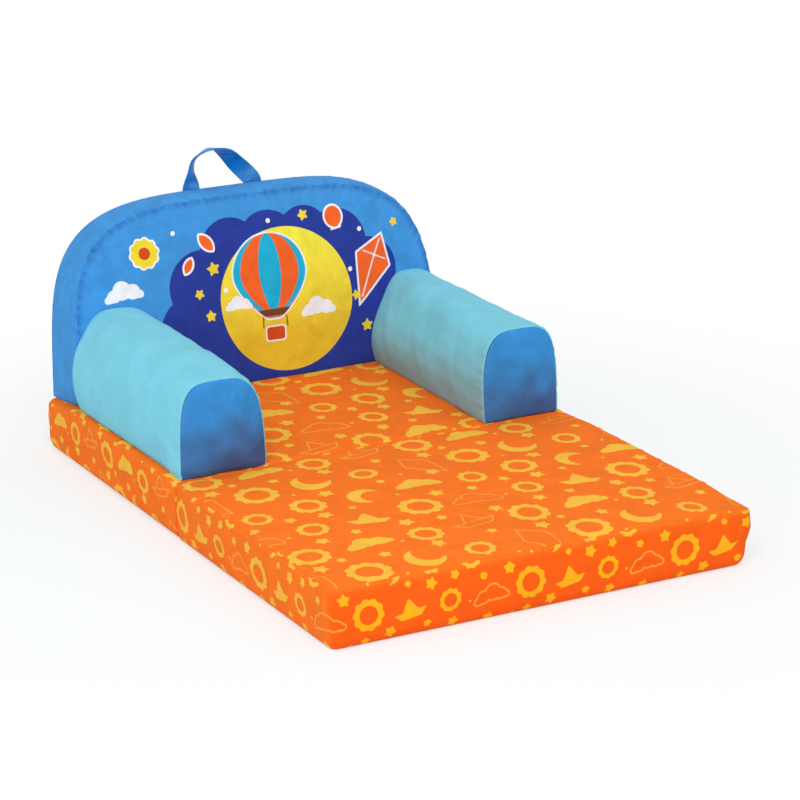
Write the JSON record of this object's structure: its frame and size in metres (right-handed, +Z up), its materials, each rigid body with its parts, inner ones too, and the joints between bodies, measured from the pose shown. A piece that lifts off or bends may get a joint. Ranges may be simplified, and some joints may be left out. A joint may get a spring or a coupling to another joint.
{
  "type": "kids flip open sofa",
  "caption": "Low foam sofa for a child, with arms, an arched backrest, a carrying strap and a padded slab that flips out in front to lie on.",
  "frame": {"origin": "on the floor, under the middle of the opened sofa", "axes": "+Z up, +X to the right when seen from the front, +Y from the flip out slab towards the backrest"},
  "size_m": [0.6988, 1.022, 0.4671],
  "materials": {
    "foam": "open cell polyurethane foam",
    "printed_cloth": "brushed polyester, orange with a printed yellow pattern",
    "arm_cloth": "brushed polyester, turquoise",
    "arm_end_cloth": "brushed polyester, blue",
    "backrest_print": "brushed polyester, blue with a printed picture",
    "backrest_cloth": "brushed polyester, blue",
    "strap": "satin faced strap, blue",
    "bottom_cloth": "plain woven polyester, near black",
    "zip_tape": "woven tape with a nylon coil",
    "zip_metal": "plated zinc"
  },
  "bodies": {
    "seat_block": {"base_foam": "foam", "base_top_panel": "printed_cloth", "base_side_band": "printed_cloth", "base_bottom_panel": "bottom_cloth", "base_zip": "zip_tape", "hinge_strip_base": "bottom_cloth", "left_arm_foam": "foam", "left_arm_sleeve": "arm_cloth", "left_arm_front_panel": "arm_end_cloth", "right_arm_foam": "foam", "right_arm_sleeve": "arm_cloth", "right_arm_front_panel": "arm_end_cloth", "backrest_foam": "foam", "backrest_front_panel": "backrest_print", "backrest_gusset": "backrest_cloth", "backrest_rear_panel": "backrest_cloth", "carry_handle": "strap"},
    "flip_slab": {"panel_foam": "foam", "panel_top_panel": "printed_cloth", "panel_side_band": "printed_cloth", "panel_bottom_panel": "bottom_cloth", "hinge_strip_panel": "bottom_cloth", "panel_zip": "zip_tape"},
    "base_slider": {"base_zip_slider": "zip_metal"},
    "base_pull": {"base_zip_pull": "zip_metal"},
    "panel_slider": {"panel_zip_slider": "zip_metal"},
    "panel_pull": {"panel_zip_pull": "zip_metal"}
  },
  "joints": [
    {"name": "flip", "type": "hinge", "parent": "seat_block", "child": "flip_slab", "pos_m": [0, -0.009, -0.00015], "axis": [1, 0, 0], "range_deg": [0, 180]},
    {"name": "base_zip_slide", "type": "slide", "parent": "seat_block", "child": "base_slider", "axis": [-1, 0, 0], "range_m": [0, 0.408]},
    {"name": "base_pull_swing", "type": "hinge", "parent": "base_slider", "child": "base_pull", "pos_m": [0.204, 0.49425, 0.026], "axis": [0, 0, -1], "range_deg": [0, 180]},
    {"name": "panel_zip_slide", "type": "slide", "parent": "flip_slab", "child": "panel_slider", "axis": [0, 1, 0], "range_m": [0, 0.328]},
    {"name": "panel_pull_swing", "type": "hinge", "parent": "panel_slider", "child": "panel_pull", "pos_m": [0.34625, -0.42307, 0.026], "axis": [0, 0, -1], "range_deg": [0, 180]}
  ]
}
